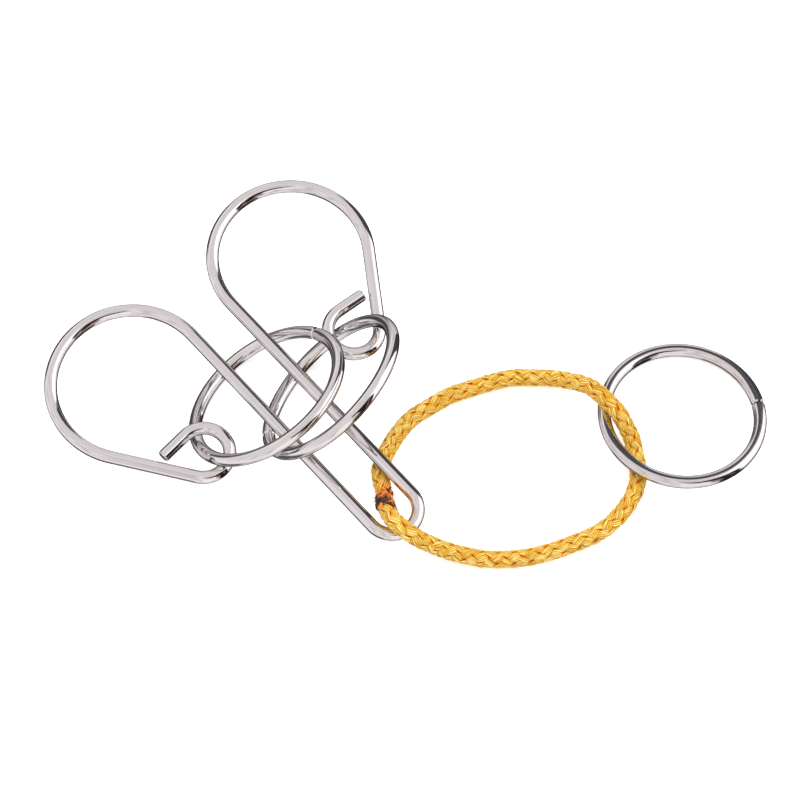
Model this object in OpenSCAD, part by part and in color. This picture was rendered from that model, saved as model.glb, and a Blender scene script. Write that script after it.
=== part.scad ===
// Bent-wire disentanglement puzzle: a wire frame with two captive rings,
// and a braided cord loop that carries a pull ring.

/* [Wire] */
// Diameter of the round wire that the frame and all rings are bent from
wire_d = 2.6; // [2.4:0.1:2.8]

/* [Frame] */
// Distance between the centre lines of the two legs
leg_gap = 10.4; // [10:0.1:11]
// Straight length of each leg, from the U to the start of its arc
leg_l = 54; // [53:0.5:55]
// Centre-line radius of the wide arc at the end of each leg
arc_r = 16; // [15.5:0.5:16.5]
// Angle that each wide arc turns through
arc_turn = 215; // [213:1:217]
// Straight run from each wide arc back to its eye
return_l = 17.6; // [17:0.2:18.2]
// Centre-line radius of each eye
eye_r = 5.2; // [5:0.1:5.4]
// Angle that each eye turns through
eye_turn = 240; // [236:1:242]
// Straight free end of each eye
eye_end = 5.8; // [5:0.2:6.2]

/* [Rings] */
// Centre-line radius of the two captive rings
ring_r = 16.6; // [16.3:0.1:16.8]
// Centre-line radius of the pull ring
pull_ring_r = 15.7; // [15.5:0.1:16]
// Width of the slit where the two ends of a ring meet
butt_gap = 0.2; // [0.1:0.05:0.4]

/* [Cord] */
// Diameter of the braided cord
cord_d = 3.6; // [3.2:0.1:3.6]
// Diameter of the melted joint that closes the cord into a loop
splice_d = 4; // [3.6:0.1:4.2]

/* [Hidden] */
$fn = 64;

wire_r = wire_d / 2;
// Straight runs are this much thinner than bends and reach this far into them
joint_step = 0.02;
joint_lap = 0.1;
tip_chamfer = 0.3;

// Where the frame lies: the centre of its U, and its roll, pitch and heading.
// The frame leans on the rings, so its arcs are higher than its U.
u_centre = [-3.1, -32.4, 6.75];
frame_turn = [-0.5, -4, 132.4];

// Each ring touches the table at one point. "lean" is its angle to the table,
// "toward" is the direction in which it leans down, and "butt" is where its
// ends meet, counted from its lowest point.
left_at = [-28.1, -9.7];
left_lean = 36.2;
left_toward = 146;
left_butt = 267;
right_at = [-15.3, -9.1];
right_lean = 49.1;
right_toward = 151.1;
right_butt = 47;
pull_at = [55.3, -10.5];
pull_lean = 7.6;
pull_toward = 83;
pull_butt = 287;

// Route of the cord's centre line, from one face of the splice round to the
// other. It dips under one leg of the U, lies on the table, climbs over the
// pull ring, drops inside it, passes under it and comes back over the U.
cord_route = [
    [-4.5, -29, 5.5],
    [-5, -26.5, 4.6],
    [-5.5, -23.5, 3.9],
    [-5, -20.5, 3.3],
    [-4, -18, 2.7],
    [-2.5, -15, 2.1],
    [-0.5, -12, 1.8],
    [1.5, -10, 1.8],
    [4.5, -8, 1.8],
    [8.5, -5.5, 1.8],
    [12.5, -4, 1.8],
    [17, -2.5, 1.8],
    [21, -1.5, 1.8],
    [25, -1.5, 2],
    [29, -2, 2.8],
    [33, -3.5, 4.5],
    [36.5, -5.5, 6.3],
    [39.5, -8.5, 7],
    [42, -11, 6.2],
    [43.5, -13, 4.7],
    [45, -15.5, 2.9],
    [45.5, -17.5, 2],
    [46, -20.5, 1.8],
    [46, -24, 1.8],
    [44, -29, 1.8],
    [39, -34.5, 1.8],
    [32, -38, 1.8],
    [24, -40.5, 1.8],
    [16, -41, 1.8],
    [12, -40.5, 2.2],
    [8, -40, 3.6],
    [4.5, -39.5, 5.9],
    [1.5, -39, 8.5],
    [-1, -37.7, 10],
    [-3, -35.5, 9.3],
    [-4, -33, 7.9],
    [-4.5, -31, 6.5]
];
cord_sides = 8;
last = len(cord_route) - 1;
up = [0, 0, 1];
// How far the splice reaches over each end of the cord
splice_lap = 0.4;

function unit(v) = v / norm(v);
// Direction of the cord at route point i
function along(i) = unit(cord_route[min(i + 1, last)] - cord_route[max(i - 1, 0)]);
// Horizontal direction square to the cord at route point i
function side(i) = unit(cross(along(i), up));
// Corner k of the cord's section at route point i
function corner(i, k) =
    let (turn = 360 * k / cord_sides)
    let (rise = cross(side(i), along(i)))
    cord_route[i] + cord_d / 2 * (cos(turn) * side(i) + sin(turn) * rise);

// A straight run of wire along +X, with what follows it at its far end
module run(l) {
    translate([-joint_lap, 0, 0]) rotate([0, 90, 0])
        cylinder(d = wire_d - joint_step, h = l + 2 * joint_lap);
    translate([l, 0, 0]) children();
}

// A bend to the left, starting along +X, with what follows it at its far end
module bend(r, turn) {
    translate([0, r, 0]) {
        rotate([0, 0, -90]) rotate_extrude(angle = turn) translate([r, 0]) circle(d = wire_d);
        rotate([0, 0, turn]) translate([0, -r, 0]) children();
    }
}

// The cut end of the wire, with a small chamfer
module wire_tip() {
    base_d = wire_d - joint_step;
    translate([joint_lap, 0, 0]) rotate([0, 90, 0])
        cylinder(d1 = base_d, d2 = base_d - 2 * tip_chamfer, h = tip_chamfer);
}

// One leg of the frame, with its arc, its return and its eye
module arm() {
    translate([0, leg_gap / 2, 0])
        run(leg_l) bend(arc_r, arc_turn) run(return_l) bend(eye_r, eye_turn) run(eye_end) wire_tip();
}

module wire_frame() {
    color("gainsboro") translate(u_centre) rotate(frame_turn) {
        translate([0, leg_gap / 2, 0]) rotate([0, 0, 180]) bend(leg_gap / 2, 180);
        arm();
        mirror([0, 1, 0]) arm();
    }
}

// A ring of wire that touches the table, with a slit where its chamfered ends meet
module wire_ring(r, at, lean, toward, butt) {
    end_l = joint_lap + tip_chamfer;
    left_out = (butt_gap + 2 * end_l) / r * 180 / PI;
    translate([at.x, at.y, wire_r + r * sin(lean)]) rotate([0, lean, toward])
        rotate([0, 0, butt + left_out / 2]) {
            rotate_extrude(angle = 360 - left_out) translate([r, 0]) circle(d = wire_d);
            translate([r, 0, 0]) rotate([0, 0, -90]) run(0) wire_tip();
            rotate([0, 0, 360 - left_out]) translate([r, 0, 0]) rotate([0, 0, 90])
                run(0) wire_tip();
        }
}

module ring_left() {
    color("gainsboro") wire_ring(ring_r, left_at, left_lean, left_toward, left_butt);
}

module ring_right() {
    color("gainsboro") wire_ring(ring_r, right_at, right_lean, right_toward, right_butt);
}

module pull_ring() {
    color("silver") wire_ring(pull_ring_r, pull_at, pull_lean, pull_toward, pull_butt);
}

// The cord, as one tube swept along its route
module cord_loop() {
    corners = [for (i = [0:last]) for (k = [0:cord_sides - 1]) corner(i, k)];
    walls = [
        for (i = [0:last - 1]) for (k = [0:cord_sides - 1])
            let (next = (k + 1) % cord_sides)
            [
                i * cord_sides + k,
                (i + 1) * cord_sides + k,
                (i + 1) * cord_sides + next,
                i * cord_sides + next
            ]
    ];
    first_end = [for (k = [0:cord_sides - 1]) k];
    last_end = [for (k = [cord_sides - 1:-1:0]) last * cord_sides + k];
    color("goldenrod") polyhedron(corners, concat(walls, [first_end, last_end]));
}

// The melted joint, a short fat sleeve between the two ends of the cord
module cord_splice() {
    span = cord_route[0] - cord_route[last];
    heading = atan2(span.y, span.x);
    slope = acos(span.z / norm(span));
    color("saddlebrown") translate(cord_route[last]) rotate([0, slope, heading])
        translate([0, 0, -splice_lap]) cylinder(d = splice_d, h = norm(span) + 2 * splice_lap);
}

wire_frame();
ring_left();
ring_right();
cord_loop();
cord_splice();
pull_ring();
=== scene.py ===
"""Looks of the bent-wire disentanglement puzzle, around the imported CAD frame. Metres throughout."""

import math

import bpy
import numpy as np
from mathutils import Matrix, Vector


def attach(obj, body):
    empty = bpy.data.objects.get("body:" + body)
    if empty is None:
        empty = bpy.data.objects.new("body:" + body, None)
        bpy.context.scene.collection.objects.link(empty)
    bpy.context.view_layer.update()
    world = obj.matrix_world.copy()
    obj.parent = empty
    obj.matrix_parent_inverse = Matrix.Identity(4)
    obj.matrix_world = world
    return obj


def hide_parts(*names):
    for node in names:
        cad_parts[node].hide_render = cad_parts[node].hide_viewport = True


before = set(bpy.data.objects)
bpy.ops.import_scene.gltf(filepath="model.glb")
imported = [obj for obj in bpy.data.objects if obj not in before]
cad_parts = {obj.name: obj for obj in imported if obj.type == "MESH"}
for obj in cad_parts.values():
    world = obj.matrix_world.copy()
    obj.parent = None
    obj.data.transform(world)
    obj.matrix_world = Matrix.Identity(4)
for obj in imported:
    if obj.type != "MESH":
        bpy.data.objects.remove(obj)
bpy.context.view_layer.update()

MM = 0.001
rng = np.random.default_rng(7)


# ---------------------------------------------------------------- camera

# The photograph's viewing angle: 65 degrees above the table, straight on.
CAMERA_AT = Vector((-1.5, -221.6, 463.1)) * MM
CAMERA_AIM = Vector((-1.5, -5.6, 0)) * MM
CAMERA_LENS = 113.1
CLIP_START, CLIP_END = 0.01, 20


def make_camera():
    data = bpy.data.cameras.new("camera")
    data.lens = CAMERA_LENS
    data.clip_start = CLIP_START
    data.clip_end = CLIP_END
    camera = bpy.data.objects.new("camera", data)
    camera.location = CAMERA_AT
    camera.rotation_mode = "QUATERNION"
    camera.rotation_quaternion = (CAMERA_AIM - CAMERA_AT).to_track_quat("-Z", "Y")
    bpy.context.scene.collection.objects.link(camera)
    bpy.context.scene.camera = camera


make_camera()


# ---------------------------------------------------------------- node helpers

# Sockets that the Mix node uses for colours. Several of its sockets have the same name.
MIX_FACTOR, MIX_A, MIX_B, MIX_RESULT = 0, 6, 7, 2


def new_material(name):
    """A new material with a Principled shader: the material, its node tree and the shader."""
    material = bpy.data.materials.new(name)
    material.use_nodes = True
    tree = material.node_tree
    tree.nodes.clear()
    output = tree.nodes.new("ShaderNodeOutputMaterial")
    shader = tree.nodes.new("ShaderNodeBsdfPrincipled")
    tree.links.new(shader.outputs[0], output.inputs["Surface"])
    return material, tree, shader


def node(tree, kind, inputs=None, output=0, **settings):
    """Adds a node, sets or links its inputs, and returns one of its outputs."""
    made = tree.nodes.new("ShaderNode" + kind)
    for key, value in settings.items():
        setattr(made, key, value)
    for key, value in (inputs or {}).items():
        if isinstance(value, bpy.types.NodeSocket):
            tree.links.new(value, made.inputs[key])
        else:
            made.inputs[key].default_value = value
    return made.outputs[output]


def maths(tree, operation, a, b=0.0):
    """A Math node on one or two numbers or sockets."""
    return node(tree, "Math", {0: a, 1: b}, operation=operation)


def remap(tree, value, low, high, to_low, to_high, smooth=True):
    """Maps low..high to to_low..to_high and clamps, with soft ends unless smooth is False."""
    kind = "SMOOTHSTEP" if smooth else "LINEAR"
    inputs = {"Value": value, "From Min": low, "From Max": high, "To Min": to_low, "To Max": to_high}
    return node(tree, "MapRange", inputs, interpolation_type=kind)


def ramp(tree, factor, stops):
    """Colour ramp with stops of (position, (r, g, b))."""
    colour = node(tree, "ValToRGB", {"Fac": factor})
    elements = colour.node.color_ramp.elements
    for element, (place, rgb) in zip(elements, stops[:1] + stops[-1:]):
        element.position = place
        element.color = (*rgb, 1)
    for place, rgb in stops[1:-1]:
        elements.new(place).color = (*rgb, 1)
    return colour


def mix(tree, factor, a, b, blend="MIX"):
    """Mixes two colours, each a socket or (r, g, b)."""
    made = tree.nodes.new("ShaderNodeMix")
    made.data_type = "RGBA"
    made.blend_type = blend
    for key, value in ((MIX_FACTOR, factor), (MIX_A, a), (MIX_B, b)):
        if isinstance(value, bpy.types.NodeSocket):
            tree.links.new(value, made.inputs[key])
        else:
            made.inputs[key].default_value = value if key == MIX_FACTOR else (*value, 1)
    return made.outputs[MIX_RESULT]


def noise(tree, scale, detail=2.0, stretch=None):
    """Noise in the piece's own space, so that it moves with the piece."""
    place = node(tree, "TexCoord", output="Object")
    if stretch:
        place = node(tree, "Mapping", {"Vector": place, "Scale": stretch})
    return node(tree, "TexNoise", {"Vector": place, "Scale": scale, "Detail": detail})


def attribute(tree, name):
    """A number that mesh_object stored on the points."""
    return node(tree, "Attribute", output="Fac", attribute_name=name)


# ---------------------------------------------------------------- mesh helpers


def mesh_object(name, points, faces, material, values=None):
    """A smooth-shaded mesh object, with values as named numbers on its points."""
    mesh = bpy.data.meshes.new(name)
    mesh.from_pydata(np.asarray(points).tolist(), [], faces)
    for key, numbers in (values or {}).items():
        layer = mesh.attributes.new(key, "FLOAT", "POINT")
        layer.data.foreach_set("value", np.asarray(numbers, np.float32).ravel())
    mesh.polygons.foreach_set("use_smooth", [True] * len(mesh.polygons))
    mesh.materials.append(material)
    mesh.validate()
    made = bpy.data.objects.new(name, mesh)
    bpy.context.scene.collection.objects.link(made)
    return made


def tube_faces(rings, sides, first=0):
    """Quads between rings of points, and a cap at each end."""
    faces = []
    for i in range(rings - 1):
        for k in range(sides):
            a, b = first + i * sides + k, first + i * sides + (k + 1) % sides
            faces.append((a, b, b + sides, a + sides))
    last = first + (rings - 1) * sides
    faces.append(tuple(first + k for k in reversed(range(sides))))
    faces.append(tuple(last + k for k in range(sides)))
    return faces


def unit(vectors):
    """The vectors, each scaled to length 1."""
    return vectors / np.linalg.norm(vectors, axis=-1, keepdims=True)


# ---------------------------------------------------------------- cord

# The route of the cord's centre line, from one face of the melted joint round to the other, in mm.
CORD_ROUTE = [
    (-4.5, -29, 5.5), (-5, -26.5, 4.6), (-5.5, -23.5, 3.9), (-5, -20.5, 3.3), (-4, -18, 2.7),
    (-2.5, -15, 2.1), (-0.5, -12, 1.8), (1.5, -10, 1.8), (4.5, -8, 1.8), (8.5, -5.5, 1.8),
    (12.5, -4, 1.8), (17, -2.5, 1.8), (21, -1.5, 1.8), (25, -1.5, 2), (29, -2, 2.8),
    (33, -3.5, 4.5), (36.5, -5.5, 6.3), (39.5, -8.5, 7), (42, -11, 6.2), (43.5, -13, 4.7),
    (45, -15.5, 2.9), (45.5, -17.5, 2), (46, -20.5, 1.8), (46, -24, 1.8), (44, -29, 1.8),
    (39, -34.5, 1.8), (32, -38, 1.8), (24, -40.5, 1.8), (16, -41, 1.8), (12, -40.5, 2.2),
    (8, -40, 3.6), (4.5, -39.5, 5.9), (1.5, -39, 8.5), (-1, -37.7, 10), (-3, -35.5, 9.3),
    (-4, -33, 7.9), (-4.5, -31, 6.5),
]
CORD_D = 3.6 * MM
# Eight yarns, four turning each way, cross over and under each other.
YARNS_EACH_WAY = 4
# Length of cord in which a yarn goes once round.
TURN_L = 13.2 * MM
YARN_W = 1.66 * MM
YARN_T = 0.5 * MM
# How far a yarn rises over another one and dips under the next.
YARN_RISE = 0.2 * MM
# How abruptly it does so: 0 is a sine wave, and more is a longer flat top.
RISE_SHARPNESS = 1.8
# A yarn runs straighter along the cord where it lies on top, by this many radians of turn.
YARN_SWAY = 0.11
# A yarn is this much wider on top than its mean width, and narrower underneath.
YARN_SPREAD = 0.06
# Random sway of a yarn's turn in radians and of its width as a share, and mm from bend to bend.
TURN_WANDER, TURN_WANDER_EVERY = 0.035, 2.5
WIDTH_WANDER, WIDTH_WANDER_EVERY = 0.05, 3.0
# Ridges across the top of a yarn.
FILAMENTS = 5
YARN_STEP = 0.23 * MM
# The plain core, which only shows in the gaps between yarns.
CORE_R = 1.22 * MM
CORE_SIDES = 12
CORE_EVERY = 4
# The core's lift lies below every yarn's, so it takes the deepest orange-red painted shade.
CORE_LIFT = 0.6


def smooth_route(points, step):
    """A centripetal Catmull-Rom curve through the points, at even steps. It closes across the joint."""
    p = np.array(points, float) * MM
    p = np.vstack([p[-1], p, p[0]])
    fine = []
    for a, b, c, d in zip(p[:-3], p[1:-2], p[2:-1], p[3:]):
        t0 = 0.0
        t1 = t0 + np.linalg.norm(b - a) ** 0.5
        t2 = t1 + np.linalg.norm(c - b) ** 0.5
        t3 = t2 + np.linalg.norm(d - c) ** 0.5
        t = np.linspace(t1, t2, 24, endpoint=False)[:, None]
        ab = (t1 - t) / (t1 - t0) * a + (t - t0) / (t1 - t0) * b
        bc = (t2 - t) / (t2 - t1) * b + (t - t1) / (t2 - t1) * c
        cd = (t3 - t) / (t3 - t2) * c + (t - t2) / (t3 - t2) * d
        abc = (t2 - t) / (t2 - t0) * ab + (t - t0) / (t2 - t0) * bc
        bcd = (t3 - t) / (t3 - t1) * bc + (t - t1) / (t3 - t1) * cd
        fine.append((t2 - t) / (t2 - t1) * abc + (t - t1) / (t2 - t1) * bcd)
    fine = np.vstack([*fine, p[-2]])
    return evenly(fine, step)


def evenly(line, step):
    along = np.concatenate([[0], np.cumsum(np.linalg.norm(np.diff(line, axis=0), axis=1))])
    at = np.linspace(0, along[-1], int(along[-1] / step) + 1)
    return np.stack([np.interp(at, along, line[:, k]) for k in range(3)], axis=1)


def carried_frames(line):
    """Tangent, side and up at each point of a line, with no twist from one point to the next."""
    tangent = unit(np.gradient(line, axis=0))
    side = np.zeros_like(line)
    side[0] = unit(np.cross(tangent[0], (0, 0, 1)))
    for i in range(1, len(line)):
        kept = side[i - 1] - tangent[i] * (side[i - 1] @ tangent[i])
        side[i] = unit(kept)
    return tangent, side, np.cross(side, tangent)


def wander(count, every):
    """A smooth random wave of about unit size, with a bend every few millimetres."""
    knots = rng.normal(0, 1, int(count * YARN_STEP / MM / every) + 4)
    at = np.arange(count) * YARN_STEP / MM / every
    low, share = at.astype(int), at % 1
    share = share * share * (3 - 2 * share)
    return knots[low] * (1 - share) + knots[low + 1] * share


def yarn_section():
    """Across (-1 to 1) and height (0 to 1) round a flat yarn: filaments on top, plain underneath."""
    top = np.linspace(-1, 1, 2 * FILAMENTS + 1)
    crown = (1 - 0.97 * top ** 4) ** 0.5 - 0.22 * (np.arange(len(top)) % 2 == 0)
    low = np.linspace(0.7, -0.7, 4)
    return np.concatenate([top, low]), np.concatenate([crown, -0.8 * np.ones(4)])


def yarn_surface(line, side, up, turn, hand):
    """One flat yarn of the braid, wrapped round the cord: its points, and numbers for its colour."""
    s = np.arange(len(line)) * YARN_STEP
    crossings = 2 * math.pi * YARNS_EACH_WAY * s / TURN_L
    angle = hand * 2 * math.pi * s / TURN_L + turn - YARN_SWAY * np.sin(crossings)
    angle += TURN_WANDER * wander(len(line), TURN_WANDER_EVERY)
    rise = hand * np.tanh(RISE_SHARPNESS * np.cos(crossings)) / math.tanh(RISE_SHARPNESS)
    middle_r = CORD_D / 2 - YARN_T / 2 - YARN_RISE
    lean = np.arctan(middle_r * np.gradient(angle, YARN_STEP))
    across, height = yarn_section()
    sway = WIDTH_WANDER * wander(len(line), WIDTH_WANDER_EVERY)
    half_w = YARN_W / 2 * (1 + YARN_SPREAD * rise + sway)
    off = half_w[:, None] * across
    along = (s[:, None] - off * np.sin(lean)[:, None]) / YARN_STEP
    around = angle[:, None] + off * np.cos(lean)[:, None] / middle_r
    r = middle_r + (YARN_RISE * rise)[:, None] + YARN_T / 2 * height
    place = np.clip(along, 0, len(line) - 1.001)
    low, share = place.astype(int), (place % 1)[..., None]
    at, to_side, to_up = (v[low] * (1 - share) + v[low + 1] * share for v in (line, side, up))
    out = np.cos(around)[..., None] * to_side + np.sin(around)[..., None] * to_up
    points = at + r[..., None] * out
    # lift is the radius as a share of the cord's, and cord_material paints orange-red shade where it is
    # low, in the gaps.
    numbers = {
        "lift": r / (CORD_D / 2),
        "across": np.broadcast_to(across, r.shape),
        "along": np.broadcast_to(s[:, None] / MM, r.shape),
        "yarn": np.full(r.shape, turn * 3 + hand * 17),
    }
    return points.reshape(-1, 3), {key: value.ravel() for key, value in numbers.items()}


def cord_material():
    """Golden yarn of fine parallel filaments, singed by the joint, with painted shade: orange-red in the
    gaps and darker lines between filaments, and painted highlights on the raised filaments.
    """
    material, tree, shader = new_material("braided_yarn")
    lift, singe = attribute(tree, "lift"), attribute(tree, "singe")
    across = maths(tree, "MULTIPLY", attribute(tree, "across"), 3.1)
    along = maths(tree, "MULTIPLY", attribute(tree, "along"), 0.35)
    lines = node(tree, "CombineXYZ", {0: across, 1: along, 2: attribute(tree, "yarn")})
    uneven = node(tree, "TexNoise", {"Vector": lines, "Scale": 1.0, "Detail": 3.0, "Roughness": 0.6})
    ridge = maths(tree, "MULTIPLY", attribute(tree, "across"), math.pi * FILAMENTS)
    ridge = maths(tree, "COSINE", maths(tree, "ADD", ridge, remap(tree, uneven, 0.3, 0.7, -1.5, 1.5)))
    ridge_share = remap(tree, ridge, -1, 1, 0.04, 0.26)
    streak = maths(tree, "ADD", maths(tree, "MULTIPLY", uneven, 0.7), ridge_share)
    fuzz = noise(tree, 2600, 3)
    depth = maths(tree, "ADD", lift, remap(tree, fuzz, 0.3, 0.7, -0.02, 0.02))
    # Painted shade: the yarn's golden colour turns deep orange-red where its surface lies low, in the
    # gaps under crossing yarns.
    yarn_colour_and_gap_shade = ramp(tree, depth, [
        (0.66, (0.80, 0.05, 0.001)), (0.77, (0.80, 0.18, 0.003)),
        (0.85, (0.74, 0.38, 0.016)), (0.94, (0.74, 0.47, 0.045)),
    ])
    # Random tone of the filaments, and painted shade: darker olive lines in the grooves between them.
    filament_tone_and_groove_shade = ramp(tree, streak, [
        (0.34, (0.62, 0.40, 0.14)), (0.45, (0.90, 0.80, 0.55)), (0.55, (1.0, 1.0, 1.0)),
    ])
    yarn = mix(tree, 1.0, yarn_colour_and_gap_shade, filament_tone_and_groove_shade, "MULTIPLY")
    # Painted highlight: pale yellow on the raised filaments of yarns that lie on top.
    raised = remap(tree, depth, 0.77, 0.90, 0, 1)
    painted_highlight_share = maths(tree, "MULTIPLY", remap(tree, streak, 0.53, 0.68, 0, 0.85), raised)
    pale = mix(tree, painted_highlight_share, yarn, (0.92, 0.80, 0.36))
    glow = mix(tree, remap(tree, singe, 0.04, 0.5, 0, 0.6), pale, (0.84, 0.18, 0.02))
    burnt = ramp(tree, noise(tree, 1800, 3), [
        (0.46, (0.014, 0.007, 0.006)), (0.62, (0.24, 0.08, 0.015)),
    ])
    charred = mix(tree, remap(tree, singe, 0.55, 0.9, 0, 1), glow, burnt)
    tree.links.new(charred, shader.inputs["Base Color"])
    tree.links.new(remap(tree, streak, 0.35, 0.65, 0.7, 0.38), shader.inputs["Roughness"])
    shader.inputs["Specular IOR Level"].default_value = 0.4
    shader.inputs["Specular Tint"].default_value = (1, 0.85, 0.5, 1)
    shader.inputs["Subsurface Weight"].default_value = 0.12
    shader.inputs["Subsurface Radius"].default_value = (1, 0.45, 0.12)
    shader.inputs["Subsurface Scale"].default_value = 0.3 * MM
    height = maths(tree, "ADD", streak, maths(tree, "MULTIPLY", fuzz, 0.2))
    bump = node(tree, "Bump", {"Height": height, "Strength": 1.0, "Distance": 0.22 * MM})
    tree.links.new(bump, shader.inputs["Normal"])
    return material


# Scorching fades over this length on the upper cord end, and over this share of it on the lower one.
SINGED_L = 1.3 * MM
LOWER_SHARE = 0.45
# Everything this near the cord's end is scorched fully.
SINGED_NEAR = 0.45 * CORD_D
# The lower end is scorched further, and most on its +X side: the mean, and how much the side changes it.
LOWER_REACH, LOWER_SLANT = 1.4 * MM, 0.9 * MM
SLANT_OVER = 1.6 * MM
# The upper end only turns orange-red, which takes half of full scorching.
UPPER_SINGE = 0.5


def singed(points, start, end):
    """How scorched each point is, 0 to 1, from its distance to the joint."""
    from_start = np.maximum(np.linalg.norm(points - start, axis=1) - SINGED_NEAR, 0) / SINGED_L
    lean = np.clip((points[:, 0] - end[0]) / SLANT_OVER, -1, 1)
    reach = SINGED_NEAR + LOWER_REACH + LOWER_SLANT * lean
    past_reach = np.maximum(np.linalg.norm(points - end, axis=1) - reach, 0)
    from_end = past_reach / (LOWER_SHARE * SINGED_L)
    singe = np.maximum(UPPER_SINGE * np.exp(-from_start), np.exp(-from_end))
    patchy = 0.75 + 0.5 * np.sin(points[:, 0] * 5200) * np.sin(points[:, 1] * 4300 + 1)
    return np.clip(singe * patchy, 0, 1)


def make_braid(route, material):
    """The braided cord: eight yarns on a plain core, in one mesh."""
    _, side, up = carried_frames(route)
    points, faces, numbers = [], [], []
    count = 0
    for hand in (1, -1):
        for k in range(YARNS_EACH_WAY):
            turn = 2 * math.pi * k / YARNS_EACH_WAY
            surface, values = yarn_surface(route, side, up, turn, hand)
            faces += tube_faces(len(route), len(surface) // len(route), count)
            count += len(surface)
            points.append(surface)
            numbers.append(values)
    around = np.linspace(0, 2 * math.pi, CORE_SIDES, endpoint=False)[:, None]
    middles, side, up = (v[::CORE_EVERY, None] for v in (route, side, up))
    core_out = np.cos(around) * side + np.sin(around) * up
    core = (middles + CORE_R * core_out).reshape(-1, 3)
    faces += tube_faces(len(middles), CORE_SIDES, count)
    plain = np.zeros(len(core))
    numbers.append({"lift": plain + CORE_LIFT, "across": plain, "along": plain, "yarn": plain})
    points = np.vstack([*points, core])
    values = {key: np.concatenate([n[key] for n in numbers]) for key in numbers[0]}
    values["singe"] = singed(points, route[0], route[-1])
    return mesh_object("braided_cord", points, faces, material, values)


# The melted crust, in mm: how far it reaches over the lower and the upper cord end, how much its
# ragged ends vary, how much they slant, its radius at the ends and the swelling between them.
CRUST_BELOW, CRUST_ABOVE = 3.1, 0.25
CRUST_RAGGED, CRUST_SLANT = 0.9, 0.5
CRUST_R, CRUST_SWELL = 1.25, 0.66
CRUST_RINGS, CRUST_SIDES = 30, 72
# Route points on each side of the splice that the crust follows.
CRUST_NEAR = 40
# The burnt band's middle is this many mm below the splice's, slants this much, and fades more slowly
# on its lower side, by this factor.
CHAR_BELOW, CHAR_SLANT = 2.3, 1.2
CHAR_LOWER = 0.7
# Lumps on the crust: height in mm, waves round the cord, twist from end to end, and phase.
LUMPS = [(0.13, 4, 9, 0), (0.07, 7, -14, 2), (0.05, 13, 21, 0)]
# The swelling's ends are this steep: 1 is a sine wave, and less is steeper.
SWELL_POWER = 0.35


def ragged_edge(around):
    """A random uneven edge as a sum of waves round the cord."""
    waves = (2, 3, 5, 8)
    return sum(rng.uniform(0.06, 0.2) * np.sin(n * around + rng.uniform(0, 6.3)) for n in waves)


def make_joint(route, material):
    """The melted joint: a lumpy crust of fused yarn with ragged edges, round both cord ends."""
    axis = Vector(route[0] - route[-1])
    half_l = axis.length / 2
    turn = axis.to_track_quat("Z", "Y")
    near = np.concatenate([route[-CRUST_NEAR:], route[:CRUST_NEAR]])
    places = np.concatenate([[0], np.cumsum(np.linalg.norm(np.diff(near, axis=0), axis=1))])
    places -= places[CRUST_NEAR - 1] + half_l
    around = 2 * math.pi * np.arange(CRUST_SIDES) / CRUST_SIDES
    out = [turn @ Vector((math.cos(a), math.sin(a), 0)) for a in around]
    # The crust and its burnt band reach further down on the +X side.
    tilt = -np.array([v.x for v in out]) - 0.5
    ragged = [ragged_edge(around) for _ in range(2)]
    low = -half_l - (CRUST_BELOW + CRUST_RAGGED * ragged[0] - CRUST_SLANT * tilt) * MM
    high = half_l + (CRUST_ABOVE + CRUST_RAGGED * ragged[1] + CRUST_SLANT * tilt) * MM
    points, char = [], []
    for t in np.linspace(0, 1, CRUST_RINGS):
        z = low + (high - low) * t
        swell = np.sin(math.pi * t) ** SWELL_POWER
        lumps = sum(h * np.sin(n * around + twist * t + phase) for h, n, twist, phase in LUMPS)
        r = (CRUST_R + (CRUST_SWELL + lumps) * swell) * MM
        middle = np.array([np.interp(z, places, near[:, k]) for k in range(3)]).T
        points += [Vector(m) + o * float(rk) for m, o, rk in zip(middle, out, r)]
        burnt = z / MM + CHAR_BELOW - CHAR_SLANT * tilt
        char += list(np.where(burnt < 0, CHAR_LOWER, 1) * burnt)
    faces = tube_faces(CRUST_RINGS, CRUST_SIDES)
    return mesh_object("melted_joint", points, faces, material, {"char": np.array(char)})


def joint_material():
    """Burnt, fused plastic: a slanting dark band, orange-red above it and olive-brown below."""
    material, tree, shader = new_material("melted_yarn")
    coarse, fine = noise(tree, 1300, 4), noise(tree, 5200, 3)
    drift = remap(tree, noise(tree, 800, 2), 0.3, 0.7, -0.8, 0.8)
    char = maths(tree, "ADD", attribute(tree, "char"), drift)
    away = remap(tree, maths(tree, "ABSOLUTE", char), 0.9, 2.1, -0.065, 0.22)
    shown = maths(tree, "ADD", coarse, away)
    upper = ramp(tree, shown, [
        (0.45, (0.010, 0.006, 0.006)), (0.55, (0.10, 0.025, 0.012)),
        (0.63, (0.50, 0.09, 0.012)), (0.73, (0.84, 0.26, 0.025)), (0.84, (0.78, 0.40, 0.04)),
    ])
    lower = ramp(tree, shown, [
        (0.44, (0.012, 0.007, 0.006)), (0.53, (0.08, 0.036, 0.014)), (0.62, (0.22, 0.12, 0.03)),
        (0.71, (0.42, 0.26, 0.05)), (0.82, (0.70, 0.50, 0.10)),
    ])
    burnt = mix(tree, remap(tree, char, -0.3, 0.3, 0, 1), lower, upper)
    tree.links.new(burnt, shader.inputs["Base Color"])
    tree.links.new(remap(tree, fine, 0.3, 0.7, 0.22, 0.6), shader.inputs["Roughness"])
    height = maths(tree, "ADD", coarse, maths(tree, "MULTIPLY", fine, 0.4))
    bump = node(tree, "Bump", {"Height": height, "Strength": 0.8, "Distance": 0.25 * MM})
    tree.links.new(bump, shader.inputs["Normal"])
    return material


FIBRE_STEPS, FIBRE_SIDES = 7, 5


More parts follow.
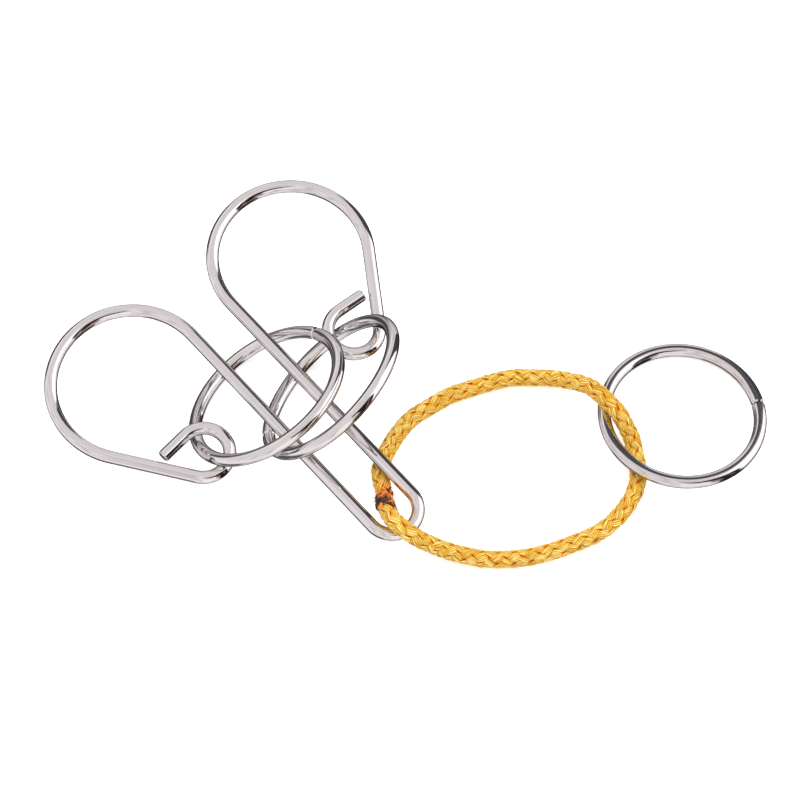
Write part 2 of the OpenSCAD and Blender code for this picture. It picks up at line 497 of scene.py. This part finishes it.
def fibre(start, direction, length, radius, curl):
    """A thin bent hair as rings of points, thinning to its tip."""
    side = unit(np.cross(direction, (0.3, 0.5, 0.8)))
    up = np.cross(direction, side)
    points = []
    for t in np.linspace(0, 1, FIBRE_STEPS):
        middle = start + length * (t * direction + curl * t * t * (side * 0.6 + up * 0.4))
        r = radius * (1 - 0.7 * t)
        for k in range(FIBRE_SIDES):
            a = 2 * math.pi * k / FIBRE_SIDES
            points.append(middle + r * (math.cos(a) * side + math.sin(a) * up))
    return points


def make_fibres(name, roots, material):
    """Loose hairs: roots is a list of (start, direction, length, radius, curl)."""
    points, faces = [], []
    for root in roots:
        faces += tube_faces(FIBRE_STEPS, FIBRE_SIDES, len(points))
        points += fibre(*root)
    return mesh_object(name, points, faces, material)


# How many fibres, and how far from the cord's centre line they start.
FRAYED_COUNT, FRAYED_FROM = 6, 1.6 * MM
HAIR_COUNT, HAIR_FROM = 46, 1.62 * MM
HAIR_R = 0.018 * MM
# Hairs keep this many route points clear of the splice, and start above this height.
HAIR_CLEAR, HAIR_LOWEST = 20, 0.6 * MM


def frayed_roots(centre, axis):
    """Broken yarns that stick out of the melted joint, mostly on its outer side."""
    roots = []
    for _ in range(FRAYED_COUNT):
        out = unit(np.array([-1.0, 0.0, 0.1]) + rng.normal(0, 0.35, 3))
        out = unit(out - axis * (out @ axis) * 0.8)
        start = centre + out * FRAYED_FROM + axis * rng.uniform(-1.0, 0.6) * MM
        length, radius = rng.uniform(0.4, 1.1) * MM, rng.uniform(0.05, 0.1) * MM
        roots.append((start, out, length, radius, rng.uniform(-0.6, 0.6)))
    return roots


def stray_roots(route, tangent, side, up):
    """A few fine hairs that stand off the braid along its length."""
    roots = []
    for i in rng.integers(HAIR_CLEAR, len(route) - HAIR_CLEAR, HAIR_COUNT):
        a = rng.uniform(0, 2 * math.pi)
        out = math.cos(a) * side[i] + math.sin(a) * up[i]
        direction = unit(out * rng.uniform(0.25, 0.7) + tangent[i] * rng.choice((-1, 1)))
        start = route[i] + out * HAIR_FROM
        if start[2] > HAIR_LOWEST:
            length, curl = rng.uniform(0.5, 1.2) * MM, rng.uniform(-0.5, 0.2)
            roots.append((start, direction, length, HAIR_R, curl))
    return roots


yarn = cord_material()
route = smooth_route(CORD_ROUTE, YARN_STEP)
tangent, side, up = carried_frames(route)
braid = make_braid(route, yarn)
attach(braid, "cord")
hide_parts("cord_loop")

crust = joint_material()
joint = make_joint(route, crust)
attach(joint, "cord")
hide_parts("cord_splice")

joint_centre = (route[0] + route[-1]) / 2
joint_axis = unit(route[0] - route[-1])
frayed = make_fibres("frayed_yarn_ends", frayed_roots(joint_centre, joint_axis), crust)
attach(frayed, "cord")

# The hairs carry none of the braid's numbers, so they take the deepest orange-red painted shade of the
# yarn.
hairs = make_fibres("stray_hairs", stray_roots(route, tangent, side, up), yarn)
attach(hairs, "cord")


# ---------------------------------------------------------------- metal


def plated_wire(name, tint, rough, grain=0.02):
    """Polished nickel plate on drawn wire: faint waves from bending, fine rub marks and haze."""
    material, tree, shader = new_material(name)
    waves = noise(tree, 260, 2)
    rubbed = noise(tree, 5200, 2, (1, 0.16, 1))
    haze = noise(tree, 90, 4)
    shader.inputs["Metallic"].default_value = 1.0
    dull = mix(tree, remap(tree, haze, 0.55, 0.8, 0, 0.35), tint, tuple(0.9 * c for c in tint))
    tree.links.new(dull, shader.inputs["Base Color"])
    marks = remap(tree, rubbed, 0.52, 0.75, 0, 0.07)
    smears = remap(tree, haze, 0.5, 0.75, 0, 0.06)
    roughness = maths(tree, "ADD", maths(tree, "ADD", marks, smears), rough)
    tree.links.new(roughness, shader.inputs["Roughness"])
    shader.inputs["Specular Tint"].default_value = (0.04, 0.04, 0.04, 1)
    height = maths(tree, "ADD", waves, maths(tree, "MULTIPLY", rubbed, grain))
    bump = node(tree, "Bump", {"Height": height, "Strength": 0.4, "Distance": 0.04 * MM})
    tree.links.new(bump, shader.inputs["Normal"])
    return material


def dress(node_name, material):
    """Gives a CAD node a better material."""
    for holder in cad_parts[node_name].material_slots:
        holder.material = material


BRIGHT_NICKEL, BRIGHT_ROUGH = (0.86, 0.85, 0.85), 0.05
# The pull ring's plate is duller, and grainy from handling.
WORN_NICKEL, WORN_ROUGH, WORN_GRAIN = (0.82, 0.81, 0.82), 0.1, 0.2

frame_plate = plated_wire("nickel_plate_frame", BRIGHT_NICKEL, BRIGHT_ROUGH)
ring_plate = plated_wire("nickel_plate_rings", BRIGHT_NICKEL, BRIGHT_ROUGH)
pull_plate = plated_wire("nickel_plate_pull_ring", WORN_NICKEL, WORN_ROUGH, WORN_GRAIN)
dress("wire_frame", frame_plate)
dress("ring_left", ring_plate)
dress("ring_right", ring_plate)
dress("pull_ring", pull_plate)


# ---------------------------------------------------------------- studio

# The curve node works on numbers up to 1, so azimuths are divided by this many degrees in it.
AZIMUTH_SCALE = 200


def edge(tree, elevation, places):
    """The azimuth of a slanting edge at each elevation, from its (elevation, azimuth) places."""
    curve = node(tree, "FloatCurve", {"Value": remap(tree, elevation, -90, 90, 0, 1, False)})
    points = curve.node.mapping.curves[0].points
    spots = [((e + 90) / 180, a / AZIMUTH_SCALE) for e, a in places]
    for point, spot in zip(points, spots[:1] + spots[-1:]):
        point.location = spot
    for spot in spots[1:-1]:
        points.new(*spot)
    curve.node.mapping.update()
    return maths(tree, "MULTIPLY", curve, AZIMUTH_SCALE)


def product(tree, values):
    """Four values multiplied together."""
    first, second, third, fourth = values
    front, back = maths(tree, "MULTIPLY", first, second), maths(tree, "MULTIPLY", third, fourth)
    return maths(tree, "MULTIPLY", front, back)


# How soft a gap's sides, its lower end and its upper end are, in degrees.
GAP_SIDE, GAP_FOOT, GAP_HEAD = 1.5, 3, 2


def gap(tree, azimuth, elevation, left, right):
    """A dark gap in the tent between a left edge and a right edge."""
    past_left, past_right = (
        maths(tree, "SUBTRACT", azimuth, edge(tree, elevation, places)) for places in (left, right)
    )
    low, high = left[0][0], left[-1][0]
    return product(tree, [
        remap(tree, past_left, -GAP_SIDE, GAP_SIDE, 0, 1),
        remap(tree, past_right, -GAP_SIDE, GAP_SIDE, 1, 0),
        remap(tree, elevation, low - GAP_FOOT, low + GAP_FOOT, 0, 1),
        remap(tree, elevation, high - GAP_HEAD, high + GAP_HEAD, 1, 0),
    ])


def patch(tree, azimuth, elevation, a, e, soft):
    """A pane with soft edges: a and e are its lowest and highest azimuth and elevation."""
    ranges = ((azimuth, a), (elevation, e))
    edges = [remap(tree, value, low - soft, low + soft, 0, 1) for value, (low, _) in ranges]
    edges += [remap(tree, value, high - soft, high + soft, 1, 0) for value, (_, high) in ranges]
    return product(tree, edges)


# Azimuth is 0 away from the camera and 90 to the right, elevation is 90 overhead, both in degrees.
# The tent's cloth has soft folds, this much darker and lighter than it, and this wide and high.
CLOTH = (0.75, 0.695, 0.70)
FOLD_DARK, FOLD_LIGHT = 0.84, 1.2
FOLD_WIDTH, FOLD_HEIGHT = 14, 30
# Bright and dim panes: azimuth range, elevation range, softness of the edges, and radiance. The last
# one lies under the table, and gives the wires the photograph's thin dark outlines.
PANES = [
    ((-185, -62), (-26, 5), 8, (0.92, 0.87, 0.88)),
    ((-62, -28), (18, 42), 8, (0.95, 0.9, 0.9)),
    ((-64, -29), (-35, 13), 7, (0.09, 0.085, 0.09)),
    ((-158, -94), (-62, -28), 5, (0.13, 0.12, 0.125)),
    ((147, 186), (-30, 28), 4, (1.0, 0.96, 0.97)),
    ((50, 118), (-14, 60), 3, (1.3, 1.28, 1.3)),
    ((54, 118), (-64, -25), 6, (0.36, 0.31, 0.31)),
    ((-75, 75), (-100, -40), 8, (0.10, 0.095, 0.11)),
]
# Dark upright gaps: left and right edges as (elevation, azimuth), and radiance.
GAPS = [
    (
        [(-50, 36), (-25, 33), (0, 22), (30, 21), (45, 22), (56, 27)],
        [(-50, 64), (-25, 60), (-10, 55), (10, 52), (30, 47), (45, 40), (56, 31)],
        (0.06, 0.057, 0.068),
    ),
    (
        [(-60, 104), (-30, 110), (-10, 114), (45, 115), (56, 128)],
        [(-60, 122), (-45, 136), (-20, 140), (20, 139), (35, 150), (45, 170), (56, 180)],
        (0.016, 0.014, 0.016),
    ),
]
# Thin warm reflections inside the second gap, given as the panes are.
GLINTS = [
    ((121, 125), (-8, 44), 1.5, (0.22, 0.12, 0.10)),
    ((136, 146), (-6, 26), 2, (0.34, 0.2, 0.15)),
]


def make_tent():
    """A pale light tent with bright panes and dark gaps, as the polished wire shows it."""
    world = bpy.data.worlds.new("tent")
    world.use_nodes = True
    bpy.context.scene.world = world
    tree = world.node_tree
    tree.nodes.clear()
    direction = node(tree, "SeparateXYZ", {0: node(tree, "TexCoord", output="Generated")})
    x, y, z = direction.node.outputs
    azimuth = maths(tree, "DEGREES", maths(tree, "ARCTAN2", x, y))
    elevation = maths(tree, "DEGREES", maths(tree, "ARCSINE", z))
    folds = node(tree, "CombineXYZ", {
        0: maths(tree, "DIVIDE", azimuth, FOLD_WIDTH), 1: maths(tree, "DIVIDE", elevation, FOLD_HEIGHT),
    })
    fold = node(tree, "TexNoise", {"Vector": folds, "Scale": 1.0, "Detail": 2.0})
    dark, light = (tuple(share * c for c in CLOTH) for share in (FOLD_DARK, FOLD_LIGHT))
    sky = mix(tree, remap(tree, fold, 0.36, 0.62, 0, 1), dark, light)
    for a, e, soft, radiance in PANES:
        sky = mix(tree, patch(tree, azimuth, elevation, a, e, soft), sky, radiance)
    for left, right, radiance in GAPS:
        sky = mix(tree, gap(tree, azimuth, elevation, left, right), sky, radiance)
    for a, e, soft, radiance in GLINTS:
        sky = mix(tree, patch(tree, azimuth, elevation, a, e, soft), sky, radiance)
    # Past the table's edge, the background is as white as the table.
    seen = node(tree, "LightPath", output="Is Camera Ray")
    sky = mix(tree, seen, sky, (1, 1, 1))
    background = node(tree, "Background", {"Color": sky, "Strength": 1.0})
    output = tree.nodes.new("ShaderNodeOutputWorld")
    tree.links.new(background, output.inputs["Surface"])


FLOOR_HALF = 1.5
FLOOR_WHITE = (0.92, 0.92, 0.92, 1)
# A faint glow keeps the table white under the puzzle.
FLOOR_GLOW = 0.4


def make_floor():
    """A plain white table. The polished metal doesn't see it, but sees the lower tent in its place."""
    material, tree, shader = new_material("white_table")
    shader.inputs["Base Color"].default_value = FLOOR_WHITE
    shader.inputs["Emission Color"].default_value = (1, 1, 1, 1)
    shader.inputs["Emission Strength"].default_value = FLOOR_GLOW
    shader.inputs["Roughness"].default_value = 0.6
    shader.inputs["Specular IOR Level"].default_value = 0.2
    corners = [(x * FLOOR_HALF, y * FLOOR_HALF, 0) for x, y in ((-1, -1), (1, -1), (1, 1), (-1, 1))]
    floor = mesh_object("table", corners, [(0, 1, 2, 3)], material)
    floor.visible_glossy = False


LAMP_AT = (0.1, 0.1, 0.85)
LAMP_D = 1.4
LAMP_WATTS = 9.0


def make_top_light():
    """A wide soft light above, for the table and the cord."""
    data = bpy.data.lights.new("top_light", "AREA")
    data.shape = "DISK"
    data.size = LAMP_D
    data.energy = LAMP_WATTS
    lamp = bpy.data.objects.new("top_light", data)
    lamp.location = LAMP_AT
    lamp.rotation_mode = "QUATERNION"
    lamp.rotation_quaternion = (-lamp.location).to_track_quat("-Z", "Y")
    lamp.visible_glossy = False
    bpy.context.scene.collection.objects.link(lamp)


# Lower and upper edge of the dark arch over the pull ring, as (azimuth, elevation).
ARCH_LOW = [(-62, 46), (-45, 36), (-20, 28), (0, 26), (14, 22), (20, 18), (22, 54), (50, 57)]
ARCH_HIGH = [(-62, 56), (-45, 66), (-20, 72), (0, 74), (20, 71), (40, 65), (50, 58)]
# The arch's centre is at the pull ring, and this is its radius in metres.
ARCH_AT = np.array((55.3, -10.5, 3.4)) * MM
ARCH_R = 1.2
# It has a column of points every so many degrees, of this many points.
ARCH_STEP = 2
ARCH_ROWS = 7
# What the arch gives off, as a share of the cloth's radiance, and what it lets through.
ARCH_GLOW = 0.88
ARCH_CLEAR = (0.12, 0.12, 0.13, 1)


def make_arch():
    """A soft panel of the tent that the pull ring alone sees unlit, as a dark arch."""
    material = bpy.data.materials.new("arch_panel")
    material.use_nodes = True
    tree = material.node_tree
    tree.nodes.clear()
    glow = node(tree, "Emission", {"Color": (*(ARCH_GLOW * c for c in CLOTH), 1)})
    dim = node(tree, "BsdfTransparent", {"Color": ARCH_CLEAR})
    output = tree.nodes.new("ShaderNodeOutputMaterial")
    tree.links.new(node(tree, "AddShader", {0: glow, 1: dim}), output.inputs["Surface"])
    turns = np.arange(ARCH_LOW[0][0], ARCH_LOW[-1][0] + 0.1, ARCH_STEP)
    lows, highs = (np.interp(turns, *zip(*places)) for places in (ARCH_LOW, ARCH_HIGH))
    points = []
    for azimuth, low, high in zip(np.radians(turns), lows, highs):
        for e in np.radians(np.linspace(low, high, ARCH_ROWS)):
            level = math.cos(e)
            toward = np.array((math.sin(azimuth) * level, math.cos(azimuth) * level, math.sin(e)))
            points.append(ARCH_AT + ARCH_R * toward)
    faces = []
    for i in range(len(turns) - 1):
        for k in range(ARCH_ROWS - 1):
            a = i * ARCH_ROWS + k
            b = a + ARCH_ROWS
            faces.append((a, b, b + 1, a + 1))
    arch = mesh_object("arch", points, faces, material)
    arch.visible_camera = False
    arch.visible_diffuse = False
    arch.visible_shadow = False
    unlit = bpy.data.collections.new("unlit_by_arch")
    unlit.objects.link(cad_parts["pull_ring"])
    arch.light_linking.receiver_collection = unlit
    unlit.collection_objects[0].light_linking.link_state = "EXCLUDE"


make_tent()
make_floor()
make_arch()
make_top_light()
bpy.context.scene.view_settings.view_transform = "Standard"
